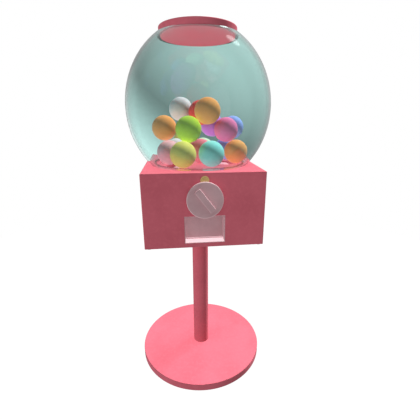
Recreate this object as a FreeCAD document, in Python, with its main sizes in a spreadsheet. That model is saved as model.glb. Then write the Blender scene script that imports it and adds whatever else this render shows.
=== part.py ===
"""Coin-operated gumball machine on a pedestal: stand, cabinet, coin drive, dispensing wheel, globe, gumballs.

The frame has its origin on the floor under the middle of the base. The front of the machine faces -Y.
"""

import FreeCAD, Part
import math
import os
from types import SimpleNamespace

import Sketcher
from FreeCAD import Placement, Rotation, Vector

# Driving sizes in millimetres and degrees
SIZES = {
    # Base casting and its rubber feet
    "base_diameter": 300, "base_height": 17.5, "base_rim": 12, "base_plate": 6, "base_edge": 1.2,
    "hub_diameter": 70, "rib_width": 6, "rib_lift": 2,
    "foot_diameter": 24, "foot_height": 4, "foot_reach": 1.5, "foot_circle": 240, "foot_boss_wall": 4,
    # Pole, its plugs and the bolts at both ends
    "pole_diameter": 38, "pole_wall": 2, "pole_seat": 4, "plug_length": 28,
    "bolt_diameter": 12, "bolt_head": 21, "bolt_head_height": 5, "bolt_grip": 20, "bolt_recess": 30,
    "seat_floor": 4, "washer_diameter": 26, "washer_thickness": 1.5,
    # Cast socket that carries the cabinet on the pole
    "socket_flange": 92, "socket_flange_thickness": 4, "socket_wall": 5, "socket_depth": 22, "socket_cap": 5,
    "socket_screw_circle": 70,
    # Cabinet shell and floor plate
    "cabinet_bottom": 341, "cabinet_width": 236, "cabinet_depth": 246, "cabinet_height": 148,
    "cabinet_wall": 2.5, "cabinet_edge": 2, "floor_thickness": 2.5,
    "corner_boss": 12, "corner_boss_height": 18,
    "screw_diameter": 5, "screw_head": 9, "screw_head_height": 2.5, "screw_grip": 12,
    "stud_diameter": 4, "stud_length": 8, "nut_width": 8, "nut_height": 3.2,
    # Cash drawer at the back and the channel it runs in
    "drawer_left": 48.5, "drawer_width": 52, "drawer_height": 46, "drawer_length": 232, "drawer_wall": 1.5,
    "drawer_face_lip": 5, "drawer_face_thickness": 2.5, "guide_wall": 1.5, "guide_height": 16,
    "pull_diameter": 20, "pull_neck": 11, "pull_length": 15, "pull_cap": 7,
    # Gumballs and the way they leave
    "ball_diameter": 51, "ball_gap": 0.3, "chute_width": 76.6, "chute_height": 53, "chute_floor": 351,
    "bezel_wall": 1.2, "bezel_depth": 26, "bezel_flange": 6, "bezel_flange_thickness": 1.5,
    "flap_thickness": 2, "flap_knuckle": 6, "flap_pin_diameter": 3, "flap_lip": 3, "flap_side_gap": 0.4,
    "ramp_back": 27, "ramp_rise": 20, "ramp_wall": 1.2, "ramp_head_gap": 4,
    # Dial, coin and the shaft behind the front panel
    "dial_share": 0.3913986, "dial_diameter": 70, "dial_thickness": 5.2, "dial_edge": 1,
    "dial_rest_angle": 53.3,
    "grip_length": 50, "grip_width": 12, "grip_height": 7, "grip_edge": 1.2,
    "face_plate_diameter": 66, "face_plate_thickness": 3,
    "coin_wheel_diameter": 44, "coin_wheel_thickness": 4, "coin_wheel_notch": 19,
    "coin_diameter": 16.25, "coin_thickness": 1.7, "coin_rim": 1.1, "coin_relief": 0.25, "coin_lift": 37,
    "shaft_diameter": 10, "shaft_engagement": 3.4, "bush_diameter": 16, "bush_flange": 24,
    "bush_flange_thickness": 2, "window_width": 19, "window_height": 6.5, "window_rise": 26,
    "bracket_width": 66, "bracket_height": 32, "bracket_sheet": 2, "bracket_reach": 18.5, "bracket_tab": 12,
    "bracket_stud_rise": 11, "coin_ramp_fall": 8, "coin_ramp_sheet": 1.2, "coin_ramp_depth": 15.5,
    "coin_ramp_start": 14, "coin_ramp_gap": 2,
    # Dispensing wheel, its crown gear and the deck under it
    "pocket_circle": 108, "pocket_clearance": 1.3, "pocket_wall": 3, "wheel_rim": 4.7, "wheel_top_plate": 3,
    "wheel_sink": 0.6, "wheel_hub": 26, "wheel_flange_thickness": 2.5, "wheel_flange_reach": 9,
    "crown_reach": 9, "crown_ring_reach": 6.5, "crown_ring_thickness": 4, "tooth_length": 10,
    "tooth_share": 0.4, "tooth_slope": 0.4, "addendum": 2.35, "dedendum": 3.3, "pinion_width": 9,
    "clip_diameter": 16, "clip_thickness": 1,
    "deck_size": 184, "deck_thickness": 3, "deck_notch_gap": 3, "wheel_ring_gap": 1,
    "deck_post_spacing": 168, "deck_post_diameter": 12,
    "spindle_diameter": 12, "spindle_shoulder": 22, "spindle_shoulder_height": 1, "spindle_tail": 9,
    "spindle_nut": 20, "spindle_nut_height": 6, "guard_angle": 66, "guard_inner": 34, "guard_thickness": 2,
    # Globe, its seat in the cabinet top, and the lid
    "globe_width": 298.6, "globe_full_height": 323.4, "glass": 4, "neck_shoulder": 6.4, "mouth_gap": 1.5,
    "neck_diameter": 197.6, "neck_gap": 0.4, "seat_web": 2.5, "seat_depth": 10.5, "seat_flange": 222,
    "gasket_thickness": 1.5, "lid_diameter": 154, "lid_height": 11.5, "lid_wall": 3, "lid_edge": 1.2,
    "lid_plug_reach": 3, "lid_plug_rise": 4, "seal_thickness": 1, "seal_width": 1.4,
    # Clearances: turning fits, slip fits and panel gaps
    "running_gap": 0.06, "slip_gap": 0.1, "panel_gap": 0.4,
}

RIBS = 6
FEET = 4
SOCKET_SCREWS = 4
SEAT_STUDS = 6
POCKETS = 5
PINION_TEETH = 12
CROWN_TEETH = PINION_TEETH * POCKETS

# Angles in plan of the first foot and socket screw, the first seat stud, the front, and the emptied pocket
DIAGONAL = 45
STUD_TURN = 30
FRONT_TURN = -90
POCKET_TURN = FRONT_TURN + 18

doc = FreeCAD.newDocument("gumball_machine")
sheet = doc.addObject("Spreadsheet::Sheet", "Sizes")
for row, (alias, number) in enumerate(SIZES.items(), start=1):
    sheet.set(f"A{row}", alias)
    sheet.set(f"B{row}", str(number))
    sheet.setAlias(f"B{row}", alias)
doc.recompute()


class Size:
    """A length worked out from cells of the sheet: its expression and its present value."""

    def __init__(self, text, value):
        self.text = text
        self.value = value

    @staticmethod
    def of(thing):
        return thing if isinstance(thing, Size) else Size(f"({thing!r})", float(thing))

    def __add__(self, other):
        other = Size.of(other)
        return Size(f"({self.text} + {other.text})", self.value + other.value)

    def __sub__(self, other):
        other = Size.of(other)
        return Size(f"({self.text} - {other.text})", self.value - other.value)

    def __mul__(self, other):
        other = Size.of(other)
        return Size(f"({self.text} * {other.text})", self.value * other.value)

    def __truediv__(self, other):
        other = Size.of(other)
        return Size(f"({self.text} / {other.text})", self.value / other.value)

    def __neg__(self):
        return Size(f"(0 - {self.text})", -self.value)

    def __radd__(self, other):
        return Size.of(other) + self

    def __rsub__(self, other):
        return Size.of(other) - self

    def __rmul__(self, other):
        return Size.of(other) * self

    def root(self):
        return Size(f"sqrt({self.text})", math.sqrt(self.value))


d = SimpleNamespace(**{alias: Size(f"Sizes.{alias}", float(number)) for alias, number in SIZES.items()})
nodes = []


def bind(thing, path, size):
    thing.setExpression(path, Size.of(size).text)


def node(label, thing):
    """Keep an object of the document as one named piece of the machine."""
    thing.Label = label
    nodes.append(thing)
    return thing


def place(thing, x, y, z):
    for axis, size in zip("xyz", (x, y, z)):
        bind(thing, f"Placement.Base.{axis}", size)


def ring_spots(radius, count, start=0.0):
    """Points spread evenly on a circle about the machine's axis, the first at the start angle."""
    angles = [math.radians(start + 360 * step / count) for step in range(count)]
    return [(radius * math.cos(angle), radius * math.sin(angle)) for angle in angles]


def corner_spots(half_x, half_y):
    return [(half_x * sx, half_y * sy) for sx in (-1, 1) for sy in (-1, 1)]


# How far a cutting tool, or a rib that is joined on, runs past the face it meets
PAST = 1.0

BAR_TURN = {"z": Rotation(), "y": Rotation(Vector(1, 0, 0), -90), "x": Rotation(Vector(0, 1, 0), 90)}


def bar(name, diameter, low, high, across=(0, 0), along="z"):
    """A round bar between two places on an axis; across gives its other two coordinates."""
    rod = doc.addObject("Part::Cylinder", name)
    rod.Placement = Placement(Vector(), BAR_TURN[along])
    bind(rod, "Radius", diameter / 2)
    bind(rod, "Height", Size.of(high) - low)
    place(rod, *{"x": (low, *across), "y": (across[0], low, across[1]), "z": (*across, low)}[along])
    return rod


def block(name, x, y, z):
    """A rectangular block between two places on each axis."""
    solid = doc.addObject("Part::Box", name)
    for side, (low, high) in zip(("Length", "Width", "Height"), (x, y, z)):
        bind(solid, side, Size.of(high) - low)
    place(solid, x[0], y[0], z[0])
    return solid


def hexagon(name, across_corners, low, high, across=(0, 0), along="z"):
    prism = doc.addObject("Part::Prism", name)
    prism.Polygon = 6
    prism.Placement = Placement(Vector(), BAR_TURN[along])
    bind(prism, "Circumradius", across_corners / 2)
    bind(prism, "Height", Size.of(high) - low)
    place(prism, *{"y": (across[0], low, across[1]), "z": (*across, low)}[along])
    return prism


def fuse(name, *pieces):
    joined = doc.addObject("Part::MultiFuse", name)
    joined.Shapes = list(pieces)
    joined.Refine = True
    return joined


def cut(name, base, *tools):
    left = doc.addObject("Part::Cut", name)
    left.Base = base
    left.Tool = tools[0] if len(tools) == 1 else fuse(f"{name}_tools", *tools)
    left.Refine = True
    return left


def group(name, solids):
    bundle = doc.addObject("Part::Compound", name)
    bundle.Links = list(solids)
    return bundle


def circle(u, v, diameter):
    return {"u": u, "v": v, "diameter": diameter}


def rectangle(u, v):
    return [(u[0], v[0]), (u[1], v[0]), (u[1], v[1]), (u[0], v[1])]


class Piece:
    """A part design body, built feature by feature from sketches on its origin planes."""

    def __init__(self, label):
        self.label = label
        self.body = node(label, doc.addObject("PartDesign::Body", label))
        self.last = None

    def origin(self, role):
        return next(item for item in self.body.Origin.OriginFeatures if item.Role == role)

    def sketch(self, plane, offset, loops):
        drawing = self.body.newObject("Sketcher::SketchObject", f"{self.label}_sketch")
        drawing.AttachmentSupport = (self.origin(plane), [""])
        drawing.MapMode = "FlatFace"
        bind(drawing, "AttachmentOffset.Base.z", offset)
        for loop in loops:
            if isinstance(loop, dict):
                self.draw_circle(drawing, loop)
            else:
                self.draw_outline(drawing, loop)
        return drawing

    @staticmethod
    def fix(drawing, kind, element, point, size):
        size = Size.of(size)
        index = drawing.addConstraint(Sketcher.Constraint(kind, -1, 1, element, point, size.value))
        drawing.setExpression(f"Constraints[{index}]", size.text)

    def draw_circle(self, drawing, loop):
        centre = Vector(Size.of(loop["u"]).value, Size.of(loop["v"]).value, 0)
        diameter = Size.of(loop["diameter"])
        element = drawing.addGeometry(Part.Circle(centre, Vector(0, 0, 1), diameter.value / 2), False)
        self.fix(drawing, "DistanceX", element, 3, loop["u"])
        self.fix(drawing, "DistanceY", element, 3, loop["v"])
        index = drawing.addConstraint(Sketcher.Constraint("Diameter", element, diameter.value))
        drawing.setExpression(f"Constraints[{index}]", diameter.text)

    def draw_outline(self, drawing, corners):
        """Draw straight sides, or as part of an ellipse the side that starts at a corner with a curve."""
        spots = [Vector(Size.of(corner[0]).value, Size.of(corner[1]).value, 0) for corner in corners]
        sides = []
        on_curve = set()
        for step, corner in enumerate(corners):
            start, end = spots[step], spots[(step + 1) % len(spots)]
            if len(corner) == 2:
                sides.append((drawing.addGeometry(Part.LineSegment(start, end), False), 1, 2))
            else:
                sides.append(self.draw_curve(drawing, start, end, *corner[2]))
                on_curve.update((step, (step + 1) % len(spots)))
        for step, corner in enumerate(corners):
            element, first, last = sides[step]
            following, following_first, _ = sides[(step + 1) % len(sides)]
            meet = Sketcher.Constraint("Coincident", element, last, following, following_first)
            drawing.addConstraint(meet)
            if step not in on_curve:
                self.fix(drawing, "DistanceX", element, first, corner[0])
            self.fix(drawing, "DistanceY", element, first, corner[1])

    def draw_curve(self, drawing, start, end, half_width, half_height, level):
        """Draw part of an ellipse with its middle on the upright axis and its longer way up or across."""
        middle = Vector(0, level.value, 0)
        tall, wide = Vector(0, half_height.value, 0), Vector(half_width.value, 0, 0)
        if half_height.value > half_width.value:
            whole = Part.Ellipse(middle + tall, middle - wide, middle)
            lie, lengths = "Vertical", (2 * half_height, 2 * half_width)
        else:
            whole = Part.Ellipse(middle + wide, middle + tall, middle)
            lie, lengths = "Horizontal", (2 * half_width, 2 * half_height)
        rising = end.y > start.y
        ends = (start, end) if rising else (end, start)
        element = drawing.addGeometry(Part.ArcOfEllipse(whole, *map(whole.parameter, ends)), False)
        drawing.exposeInternalGeometry(element)
        long_axis, short_axis = element + 1, element + 2
        drawing.addConstraint(Sketcher.Constraint("PointOnObject", element, 3, -2))
        drawing.addConstraint(Sketcher.Constraint(lie, long_axis))
        self.fix(drawing, "DistanceY", element, 3, level)
        for axis, length in zip((long_axis, short_axis), lengths):
            index = drawing.addConstraint(Sketcher.Constraint("Distance", axis, length.value))
            drawing.setExpression(f"Constraints[{index}]", length.text)
        return (element, 1, 2) if rising else (element, 2, 1)

    def feature(self, kind, drawing):
        self.last = self.body.newObject(f"PartDesign::{kind}", f"{self.label}_{kind.lower()}")
        self.last.Profile = drawing
        return self.last

    def pad(self, plane, offset, length, loops, reverse=False, middle=False):
        """Add material from a sketch; XY pads rise, XZ pads come forward and YZ pads go right."""
        pad = self.feature("Pad", self.sketch(plane, offset, loops))
        bind(pad, "Length", length)
        pad.Reversed = reverse
        pad.SideType = "Symmetric" if middle else "One side"

    def pocket(self, plane, offset, depth, loops, reverse=False):
        """Cut from a sketch, against the way a pad of the same plane would go."""
        doc.recompute()
        before = self.body.Shape.Volume
        pocket = self.feature("Pocket", self.sketch(plane, offset, loops))
        bind(pocket, "Length", depth)
        pocket.Reversed = reverse
        doc.recompute()
        if self.body.Shape.Volume >= before:
            raise RuntimeError(f"{self.label}: a pocket cuts nothing")

    def revolve(self, profile, plane="XZ_Plane"):
        drawing = self.sketch(plane, 0, [profile])
        turned = self.feature("Revolution", drawing)
        turned.ReferenceAxis = (drawing, ["V_Axis"])
        turned.Angle = 360

    def repeat(self, count, axis="Z_Axis"):
        pattern = self.body.newObject("PartDesign::PolarPattern", f"{self.label}_pattern")
        pattern.Originals = [self.last]
        pattern.Axis = (self.origin(axis), [""])
        pattern.Angle = 360
        pattern.Occurrences = count
        self.body.Tip = pattern
        doc.recompute()

    def round(self, radius, chosen):
        doc.recompute()
        tip = self.body.Tip
        names = [f"Edge{i}" for i, edge in enumerate(tip.Shape.Edges, start=1) if chosen(edge)]
        fillet = self.body.newObject("PartDesign::Fillet", f"{self.label}_round")
        fillet.Base = (tip, names)
        bind(fillet, "Radius", radius)
        doc.recompute()


def circle_at(radius, **where):
    """Choose round edges of one radius, at a place along one axis."""
    (axis, place_on_axis), = where.items()

    def chosen(edge):
        if not isinstance(edge.Curve, Part.Circle):
            return False
        level = getattr(edge.Curve.Center, axis)
        return abs(edge.Curve.Radius - radius.value) < 1e-4 and abs(level - place_on_axis.value) < 1e-4

    return chosen


def screws(name, spots, seat, head_side, grip, along="z"):
    """Pan-head screws: heads on one side of the seat, shanks of the grip length on the other."""
    solids = []
    for number, across in enumerate(spots):
        tip = seat - head_side * grip
        crown = seat + head_side * d.screw_head_height
        low, high = (tip, seat) if head_side > 0 else (seat, tip)
        head_low, head_high = (seat, crown) if head_side > 0 else (crown, seat)
        shank = bar(f"{name}_shank_{number}", d.screw_diameter, low, high, across, along)
        head = bar(f"{name}_head_{number}", d.screw_head, head_low, head_high, across, along)
        solids.append(fuse(f"{name}_{number}", shank, head))
    return node(name, group(name, solids))


def nuts(name, spots, low, bore, along="z"):
    """Hexagon nuts on studs."""
    solids = []
    for number, across in enumerate(spots):
        blank = hexagon(f"{name}_blank_{number}", d.nut_width, low, low + d.nut_height, across, along)
        hole = bar(f"{name}_hole_{number}", bore, low - PAST, low + d.nut_height + PAST, across, along)
        solids.append(cut(f"{name}_{number}", blank, hole))
    return node(name, group(name, solids))


def tube(name, outer, inner, low, high, across=(0, 0), along="z"):
    body = bar(f"{name}_outer", outer, low, high, across, along)
    bore = bar(f"{name}_inner", inner, low - PAST, high + PAST, across, along)
    return cut(name, body, bore)


# Levels and places shared by several pieces
base_radius = d.base_diameter / 2
base_under = d.foot_reach
plate_under = d.base_height - d.base_plate
pole_foot = d.base_height - d.pole_seat
recess_top = pole_foot - d.seat_floor
pole_bore = d.pole_diameter - 2 * d.pole_wall
screw_hole = d.screw_diameter + 2 * d.slip_gap
floor_top = d.cabinet_bottom + d.floor_thickness
pole_top = floor_top + d.socket_depth
cabinet_top = d.cabinet_bottom + d.cabinet_height
ceiling = cabinet_top - d.cabinet_wall
front = -d.cabinet_depth / 2
front_inside = front + d.cabinet_wall
back = d.cabinet_depth / 2
side_inside = d.cabinet_width / 2 - d.cabinet_wall
back_inside = back - d.cabinet_wall
boss_x = side_inside - d.corner_boss / 2
boss_y = back_inside - d.corner_boss / 2


# Base: a ribbed casting with four rubber feet let into its underside
base = Piece("base_casting")
bolt_hole = d.bolt_diameter / 2 + d.slip_gap
pole_hole = d.pole_diameter / 2 + d.slip_gap
rim_inside = base_radius - d.base_rim
base.revolve([
    (bolt_hole, pole_foot), (pole_hole, pole_foot), (pole_hole, d.base_height), (base_radius, d.base_height),
    (base_radius, base_under), (rim_inside, base_under), (rim_inside, plate_under),
    (d.hub_diameter / 2, plate_under), (d.hub_diameter / 2, base_under), (d.bolt_recess / 2, base_under),
    (d.bolt_recess / 2, recess_top), (bolt_hole, recess_top),
])
rib_foot = base_under + d.rib_lift
rib_span = (d.hub_diameter / 2 - PAST, rim_inside + PAST)
rib_sides = (-d.rib_width / 2, d.rib_width / 2)
base.pad("XY_Plane", rib_foot, plate_under - rib_foot, [rectangle(rib_span, rib_sides)])
base.repeat(RIBS)
foot_spots = ring_spots(d.foot_circle / 2, FEET, DIAGONAL)
foot_recess = d.foot_diameter + 2 * d.slip_gap
foot_boss = foot_recess + 2 * d.foot_boss_wall
base.pad("XY_Plane", base_under, plate_under - base_under, [circle(x, y, foot_boss) for x, y in foot_spots])
base.pocket("XY_Plane", base_under, d.foot_height - d.foot_reach,
            [circle(x, y, foot_recess) for x, y in foot_spots], reverse=True)
base.round(d.base_edge, circle_at(base_radius, z=d.base_height))

node("base_feet", group("base_feet", [
    bar(f"foot_{number}", d.foot_diameter, 0, d.foot_height, spot) for number, spot in enumerate(foot_spots)
]))

# Pole: a steel tube with a threaded plug in each end, bolted to the base from below
node("pole_tube", tube("pole_tube", d.pole_diameter, pole_bore, pole_foot, pole_top))
thread_bore = d.bolt_diameter + 2 * d.slip_gap
plug_diameter = pole_bore - 2 * d.slip_gap
node("pole_plugs", group("pole_plugs", [
    tube("pole_foot_plug", plug_diameter, thread_bore, pole_foot, pole_foot + d.plug_length),
    tube("pole_top_plug", plug_diameter, thread_bore, pole_top - d.plug_length, pole_top),
]))

washer_foot = recess_top - d.washer_thickness
node("base_washer", tube("base_washer", d.washer_diameter, thread_bore, washer_foot, recess_top))
base_bolt_head = hexagon("base_bolt_head", d.bolt_head, washer_foot - d.bolt_head_height, washer_foot)
base_bolt_shank = bar("base_bolt_shank", d.bolt_diameter, washer_foot, pole_foot + d.bolt_grip)
node("base_bolt", fuse("base_bolt", base_bolt_head, base_bolt_shank))

# Pole socket: a flanged cup over the top of the pole, screwed to the cabinet floor and pulled down by a bolt
socket_radius = d.pole_diameter / 2 + d.slip_gap + d.socket_wall
socket_flange_top = floor_top + d.socket_flange_thickness
socket_top = pole_top + d.socket_cap
socket = Piece("pole_socket")
socket.revolve([
    (pole_hole, floor_top), (d.socket_flange / 2, floor_top), (d.socket_flange / 2, socket_flange_top),
    (socket_radius, socket_flange_top), (socket_radius, socket_top), (bolt_hole, socket_top),
    (bolt_hole, pole_top), (pole_hole, pole_top),
])
socket_spots = ring_spots(d.socket_screw_circle / 2, SOCKET_SCREWS, DIAGONAL)
socket.pocket("XY_Plane", floor_top, d.socket_flange_thickness,
              [circle(x, y, screw_hole) for x, y in socket_spots], reverse=True)
screws("socket_screws", socket_spots, d.cabinet_bottom, -1, d.floor_thickness + d.socket_flange_thickness)
pole_bolt_head = hexagon("pole_bolt_head", d.bolt_head, socket_top, socket_top + d.bolt_head_height)
pole_bolt_shank = bar("pole_bolt_shank", d.bolt_diameter, pole_top - d.bolt_grip, socket_top)
node("pole_bolt", fuse("pole_bolt", pole_bolt_head, pole_bolt_shank))

# Places on the cabinet's faces
opening_half = d.chute_width / 2 + d.bezel_wall
opening_low = d.chute_floor - d.bezel_wall
opening_high = d.chute_floor + d.chute_height + d.bezel_wall
dial_level = opening_high + (cabinet_top - opening_high) * d.dial_share
window_low = dial_level + d.window_rise
bracket_stud_x = d.bracket_width / 2 + d.bracket_tab / 2
bracket_studs = [(x, dial_level + rise) for x, rise in corner_spots(bracket_stud_x, d.bracket_stud_rise)]
guide_left = d.drawer_left - d.panel_gap - d.guide_wall
guide_right = d.drawer_left + d.drawer_width + d.panel_gap + d.guide_wall
drawer_foot = floor_top + d.guide_wall + d.panel_gap
drawer_top = drawer_foot + d.drawer_height
neck_radius = d.neck_diameter / 2
seat_stud_radius = (neck_radius + d.neck_gap + d.seat_web + d.seat_flange / 2) / 2
seat_spots = ring_spots(seat_stud_radius, SEAT_STUDS, STUD_TURN)

# Cabinet: a folded and welded steel shell, open below, with weld studs inside
shell = Piece("cabinet_shell")
outline = rectangle((-d.cabinet_width / 2, d.cabinet_width / 2), (front, back))
inside = rectangle((-side_inside, side_inside), (front_inside, back_inside))
shell.pad("XY_Plane", d.cabinet_bottom, d.cabinet_height, [outline])


def outer_fold(edge):
    """Choose the shell's upright corners and the edges round its top."""
    box = edge.BoundBox
    upright = abs(box.ZLength - d.cabinet_height.value) < 1e-4
    return upright or (box.ZLength < 1e-4 and abs(box.ZMax - cabinet_top.value) < 1e-4)


shell.round(d.cabinet_edge, outer_fold)
shell.pocket("XY_Plane", d.cabinet_bottom, d.cabinet_height - d.cabinet_wall, [inside], reverse=True)
corner_bosses = [
    rectangle((x - d.corner_boss / 2, x + d.corner_boss / 2), (y - d.corner_boss / 2, y + d.corner_boss / 2))
    for x, y in corner_spots(boss_x, boss_y)
]
shell.pad("XY_Plane", floor_top, d.corner_boss_height, corner_bosses)
boss_spots = corner_spots(boss_x, boss_y)
shell.pocket("XY_Plane", floor_top, d.screw_grip,
             [circle(x, y, screw_hole) for x, y in boss_spots], reverse=True)
shell.pocket("XY_Plane", cabinet_top, d.cabinet_wall, [circle(0, 0, d.neck_diameter + 2 * d.neck_gap)])
shell.pocket("XZ_Plane", -front, d.cabinet_wall, [
    rectangle((-opening_half - d.slip_gap, opening_half + d.slip_gap),
              (opening_low - d.slip_gap, opening_high + d.slip_gap)),
    rectangle((-d.window_width / 2, d.window_width / 2), (window_low, window_low + d.window_height)),
    circle(0, dial_level, d.bush_diameter + 2 * d.slip_gap),
])
shell.pocket("XZ_Plane", -back, d.cabinet_wall, [
    rectangle((d.drawer_left - d.panel_gap, d.drawer_left + d.drawer_width + d.panel_gap),
              (drawer_foot - d.panel_gap, drawer_top + d.panel_gap)),
], reverse=True)
shell.pad("XZ_Plane", -front_inside, d.stud_length,
          [circle(x, z, d.stud_diameter) for x, z in bracket_studs], reverse=True)
shell.pad("XY_Plane", ceiling, d.stud_length,
          [circle(x, y, d.stud_diameter) for x, y in seat_spots], reverse=True)

# Cabinet floor: a plate between the walls, screwed up into the corner bosses
floor_plate = Piece("cabinet_floor")
floor_half_x = side_inside - d.slip_gap
floor_half_y = back_inside - d.slip_gap
floor_plate.pad("XY_Plane", d.cabinet_bottom, d.floor_thickness,
                [rectangle((-floor_half_x, floor_half_x), (-floor_half_y, floor_half_y))])
floor_plate.pocket("XY_Plane", floor_top, d.floor_thickness, [
    circle(0, 0, d.pole_diameter + 2 * d.slip_gap),
    *[circle(x, y, screw_hole) for x, y in boss_spots + socket_spots],
])
screws("floor_screws", boss_spots, d.cabinet_bottom, -1, d.floor_thickness + d.screw_grip - PAST)

# Cash drawer: a folded tray that slides out at the back in a channel on the cabinet floor
drawer_right = d.drawer_left + d.drawer_width
drawer_face = back + d.panel_gap
drawer_end = drawer_face - d.drawer_length
guide_x = (guide_left, guide_right)
guide_y = (drawer_end, back_inside)
guide_base = block("guide_base", guide_x, guide_y, (floor_top, floor_top + d.guide_wall))
guide_z = (floor_top, floor_top + d.guide_height)
guide_sides = [
    block(f"guide_side_{number}", (left, left + d.guide_wall), guide_y, guide_z)
    for number, left in enumerate((guide_left, guide_right - d.guide_wall))
]
node("drawer_guide", fuse("drawer_guide", guide_base, *guide_sides))

tray = block("tray", (d.drawer_left, drawer_right), (drawer_end, drawer_face), (drawer_foot, drawer_top))
tray_hollow = block(
    "tray_hollow",
    (d.drawer_left + d.drawer_wall, drawer_right - d.drawer_wall),
    (drawer_end + d.drawer_wall, drawer_face - d.drawer_wall),
    (drawer_foot + d.drawer_wall, drawer_top + PAST),
)
face = block(
    "drawer_face",
    (d.drawer_left - d.drawer_face_lip, drawer_right + d.drawer_face_lip),
    (drawer_face, drawer_face + d.drawer_face_thickness),
    (drawer_foot - d.panel_gap, drawer_top + d.drawer_face_lip),
)
node("cash_drawer", fuse("cash_drawer", cut("tray_shell", tray, tray_hollow), face))

pull = Piece("drawer_pull")
pull_foot = drawer_face + d.drawer_face_thickness
pull_end = pull_foot + d.pull_length
pull.revolve([
    (0, pull_foot), (d.pull_neck / 2, pull_foot), (d.pull_neck / 2, pull_end - d.pull_cap),
    (d.pull_diameter / 2, pull_end - d.pull_cap), (d.pull_diameter / 2, pull_end), (0, pull_end),
], plane="XY_Plane")
pull.round(d.grip_edge, circle_at(d.pull_diameter / 2, y=pull_end))
place(pull.body, d.drawer_left + d.drawer_width / 2, 0, drawer_foot + d.drawer_height / 2)

# Chute bezel: a plastic liner through the front panel, with a clamping flange inside
bezel_back = front + d.bezel_depth
bezel_outer = block("bezel_outer", (-opening_half, opening_half), (front, bezel_back),
                    (opening_low, opening_high))
bezel_flange = block(
    "bezel_flange",
    (-opening_half - d.bezel_flange, opening_half + d.bezel_flange),
    (front_inside, front_inside + d.bezel_flange_thickness),
    (floor_top, opening_high + d.bezel_flange),
)
bezel_hollow = block(
    "bezel_hollow",
    (-d.chute_width / 2, d.chute_width / 2),
    (front - PAST, bezel_back + PAST),
    (d.chute_floor, d.chute_floor + d.chute_height),
)
hinge_z = d.chute_floor + d.chute_height - d.flap_knuckle / 2 - d.panel_gap
hinge_y = bezel_back - d.flap_knuckle / 2 - d.panel_gap
pin_hole = bar("pin_hole", d.flap_pin_diameter + 2 * d.slip_gap, -opening_half - PAST, opening_half + PAST,
               (hinge_y, hinge_z), "x")
bezel_blank = fuse("bezel_blank", bezel_outer, bezel_flange)
node("chute_bezel", cut("chute_bezel", bezel_blank, bezel_hollow, pin_hole))

# Chute flap: hangs from a pin across the bezel and swings out
flap_half = d.chute_width / 2 - d.flap_side_gap
flap_foot = d.chute_floor + d.panel_gap
flap_back = hinge_y + d.flap_thickness / 2
flap_front = hinge_y - d.flap_thickness / 2
flap_plate = block("flap_plate", (-flap_half, flap_half), (flap_front, flap_back), (flap_foot, hinge_z))
flap_knuckle = bar("flap_knuckle", d.flap_knuckle, -flap_half, flap_half, (hinge_y, hinge_z), "x")
flap_lip = block("flap_lip", (-flap_half, flap_half), (flap_front - d.flap_lip, flap_back),
                 (flap_foot, flap_foot + d.flap_thickness))
flap_bore = bar("flap_bore", d.flap_pin_diameter + 2 * d.running_gap, -opening_half, opening_half,
                (hinge_y, hinge_z), "x")
node("chute_flap", cut("chute_flap", fuse("flap_blank", flap_plate, flap_knuckle, flap_lip), flap_bore))
node("flap_pin", bar("flap_pin", d.flap_pin_diameter, -opening_half, opening_half, (hinge_y, hinge_z), "x"))

# Chute ramp: a folded trough from under the wheel down to the bezel
deck_top = cabinet_top - d.wheel_sink - d.ball_diameter - d.ball_gap
deck_under = deck_top - d.deck_thickness
ramp = Piece("chute_ramp")
ramp_end = -d.ramp_back
ramp_top = deck_under - d.ramp_head_gap
ramp.pad("YZ_Plane", 0, d.chute_width, [[
    (bezel_back, d.chute_floor - d.ramp_wall), (ramp_end, d.chute_floor + d.ramp_rise - d.ramp_wall),
    (ramp_end, ramp_top), (ramp_end - d.ramp_wall, ramp_top),
    (ramp_end - d.ramp_wall, d.chute_floor + d.ramp_rise), (bezel_back, d.chute_floor),
]], middle=True)
for side in (-1, 1):
    inner = d.chute_width / 2
    ramp.pad("YZ_Plane", side * inner, d.bezel_wall, [[
        (bezel_back, floor_top), (ramp_end, floor_top), (ramp_end, ramp_top), (bezel_back, ramp_top),
    ]], reverse=side < 0)

# Face plate: a fixed disc behind the dial with a seat for one coin at its top
plate_front = front - d.face_plate_thickness
coin_seat = d.coin_diameter + 2 * d.slip_gap
shaft_slip = d.shaft_diameter + 2 * d.slip_gap
face_plate = Piece("face_plate")
face_plate.pad("XZ_Plane", -front, d.face_plate_thickness, [circle(0, 0, d.face_plate_diameter)])
face_plate.pocket("XZ_Plane", -plate_front, d.face_plate_thickness, [
    circle(0, 0, d.bush_diameter), circle(0, d.coin_lift, coin_seat),
])
place(face_plate.body, 0, 0, dial_level)

# Dial: a turned disc with a raised grip bar, on the front end of the drive shaft
dial_back = plate_front - d.panel_gap
dial_front = dial_back - d.dial_thickness
shaft_front = dial_back - d.shaft_engagement
dial_disc = Piece("dial")
dial_disc.pad("XZ_Plane", -dial_back, d.dial_thickness, [circle(0, 0, d.dial_diameter)])
dial_disc.pocket("XZ_Plane", -dial_back, d.shaft_engagement, [circle(0, 0, shaft_slip)], reverse=True)
dial_disc.round(d.dial_edge, circle_at(d.dial_diameter / 2, y=dial_front))
place(dial_disc.body, 0, 0, dial_level)

grip = Piece("dial_grip")
grip.pad("XZ_Plane", -dial_front, d.grip_height, [
    rectangle((-d.grip_length / 2, d.grip_length / 2), (-d.grip_width / 2, d.grip_width / 2)),
])


def grip_fold(edge):
    """Choose every edge of the grip that isn't on the dial."""
    return edge.BoundBox.YMin < dial_front.value - 1e-4


grip.round(d.grip_edge, grip_fold)
grip.body.Placement = Placement(Vector(), Rotation(Vector(0, 1, 0), d.dial_rest_angle.value))
place(grip.body, 0, 0, dial_level)
bind(grip.body, "Placement.Rotation.Angle", d.dial_rest_angle)

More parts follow.
